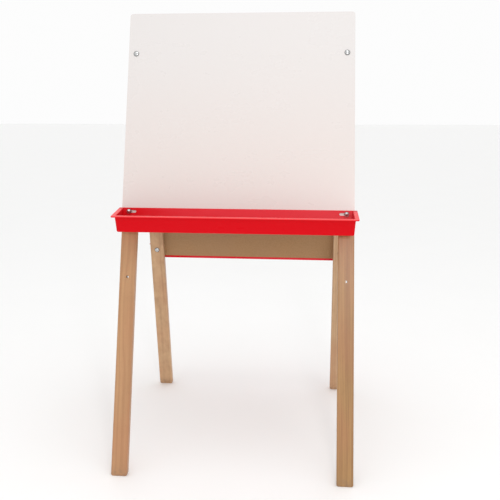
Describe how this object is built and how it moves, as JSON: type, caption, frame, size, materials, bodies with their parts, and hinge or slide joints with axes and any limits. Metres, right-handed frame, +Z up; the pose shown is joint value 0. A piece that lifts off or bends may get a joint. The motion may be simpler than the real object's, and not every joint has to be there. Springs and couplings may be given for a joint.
{
  "type": "kids easel",
  "caption": "Two-sided folding easel for children: hinged hardwood leg frames, each with a white board and a red flanged paint tray.",
  "frame": {"origin": "on the floor, midway between the front and rear feet and midway between left and right", "axes": "+Z up, +X to the right as seen from the front, front board and its tray face -Y, hinge axis along X"},
  "size_m": [0.6236, 0.6592, 1.1816],
  "materials": {
    "hardwood": "clear satin lacquer on close-grained hardwood",
    "white_hardboard": "white melamine face, bare brown hardboard back",
    "red_plastic": "glossy injection moulding",
    "bright_zinc": "bright zinc plate",
    "plated_steel": "zinc-plated sheet steel"
  },
  "bodies": {
    "front_frame": {"front_left_leg": "hardwood", "front_right_leg": "hardwood", "front_board": "white_hardboard", "front_tray": "red_plastic", "front_top_bolts": "bright_zinc", "front_top_washers": "bright_zinc", "front_top_nuts": "bright_zinc", "front_tray_bolts": "bright_zinc", "front_tray_cap_nuts": "bright_zinc", "front_hinge_screws": "plated_steel", "left_hinge_front_leaf": "plated_steel", "right_hinge_front_leaf": "plated_steel", "left_hinge_pin": "plated_steel", "right_hinge_pin": "plated_steel", "stay_pivot_screws": "plated_steel", "stay_pivot_spacers": "plated_steel"},
    "rear_frame": {"rear_left_leg": "hardwood", "rear_right_leg": "hardwood", "rear_board": "white_hardboard", "rear_tray": "red_plastic", "rear_top_bolts": "bright_zinc", "rear_top_washers": "bright_zinc", "rear_top_nuts": "bright_zinc", "rear_tray_bolts": "bright_zinc", "rear_tray_cap_nuts": "bright_zinc", "rear_hinge_screws": "plated_steel", "left_hinge_rear_leaf": "plated_steel", "right_hinge_rear_leaf": "plated_steel", "stay_slide_screws": "plated_steel", "stay_slide_spacers": "plated_steel"},
    "left_stay": {"left_stay": "plated_steel"},
    "right_stay": {"right_stay": "plated_steel"}
  },
  "joints": [
    {"name": "frame_fold", "type": "hinge", "parent": "front_frame", "child": "rear_frame", "pos_m": [0, 0, 1.16875], "axis": [-1, 0, 0], "range_deg": [0, 29]},
    {"name": "left_stay_swing", "type": "hinge", "parent": "front_frame", "child": "left_stay", "pos_m": [-0.2635, -0.02878, 1.11939], "axis": [-1, 0, 0], "range_deg": [0, 32.37]},
    {"name": "right_stay_swing", "type": "hinge", "parent": "front_frame", "child": "right_stay", "pos_m": [0.2635, -0.02878, 1.11939], "axis": [-1, 0, 0], "range_deg": [0, 32.37]}
  ],
  "couplings": [
    {"joint": "left_stay_swing", "follows": "frame_fold", "ratio": 1.1129},
    {"joint": "right_stay_swing", "follows": "frame_fold", "ratio": 1.1129}
  ]
}
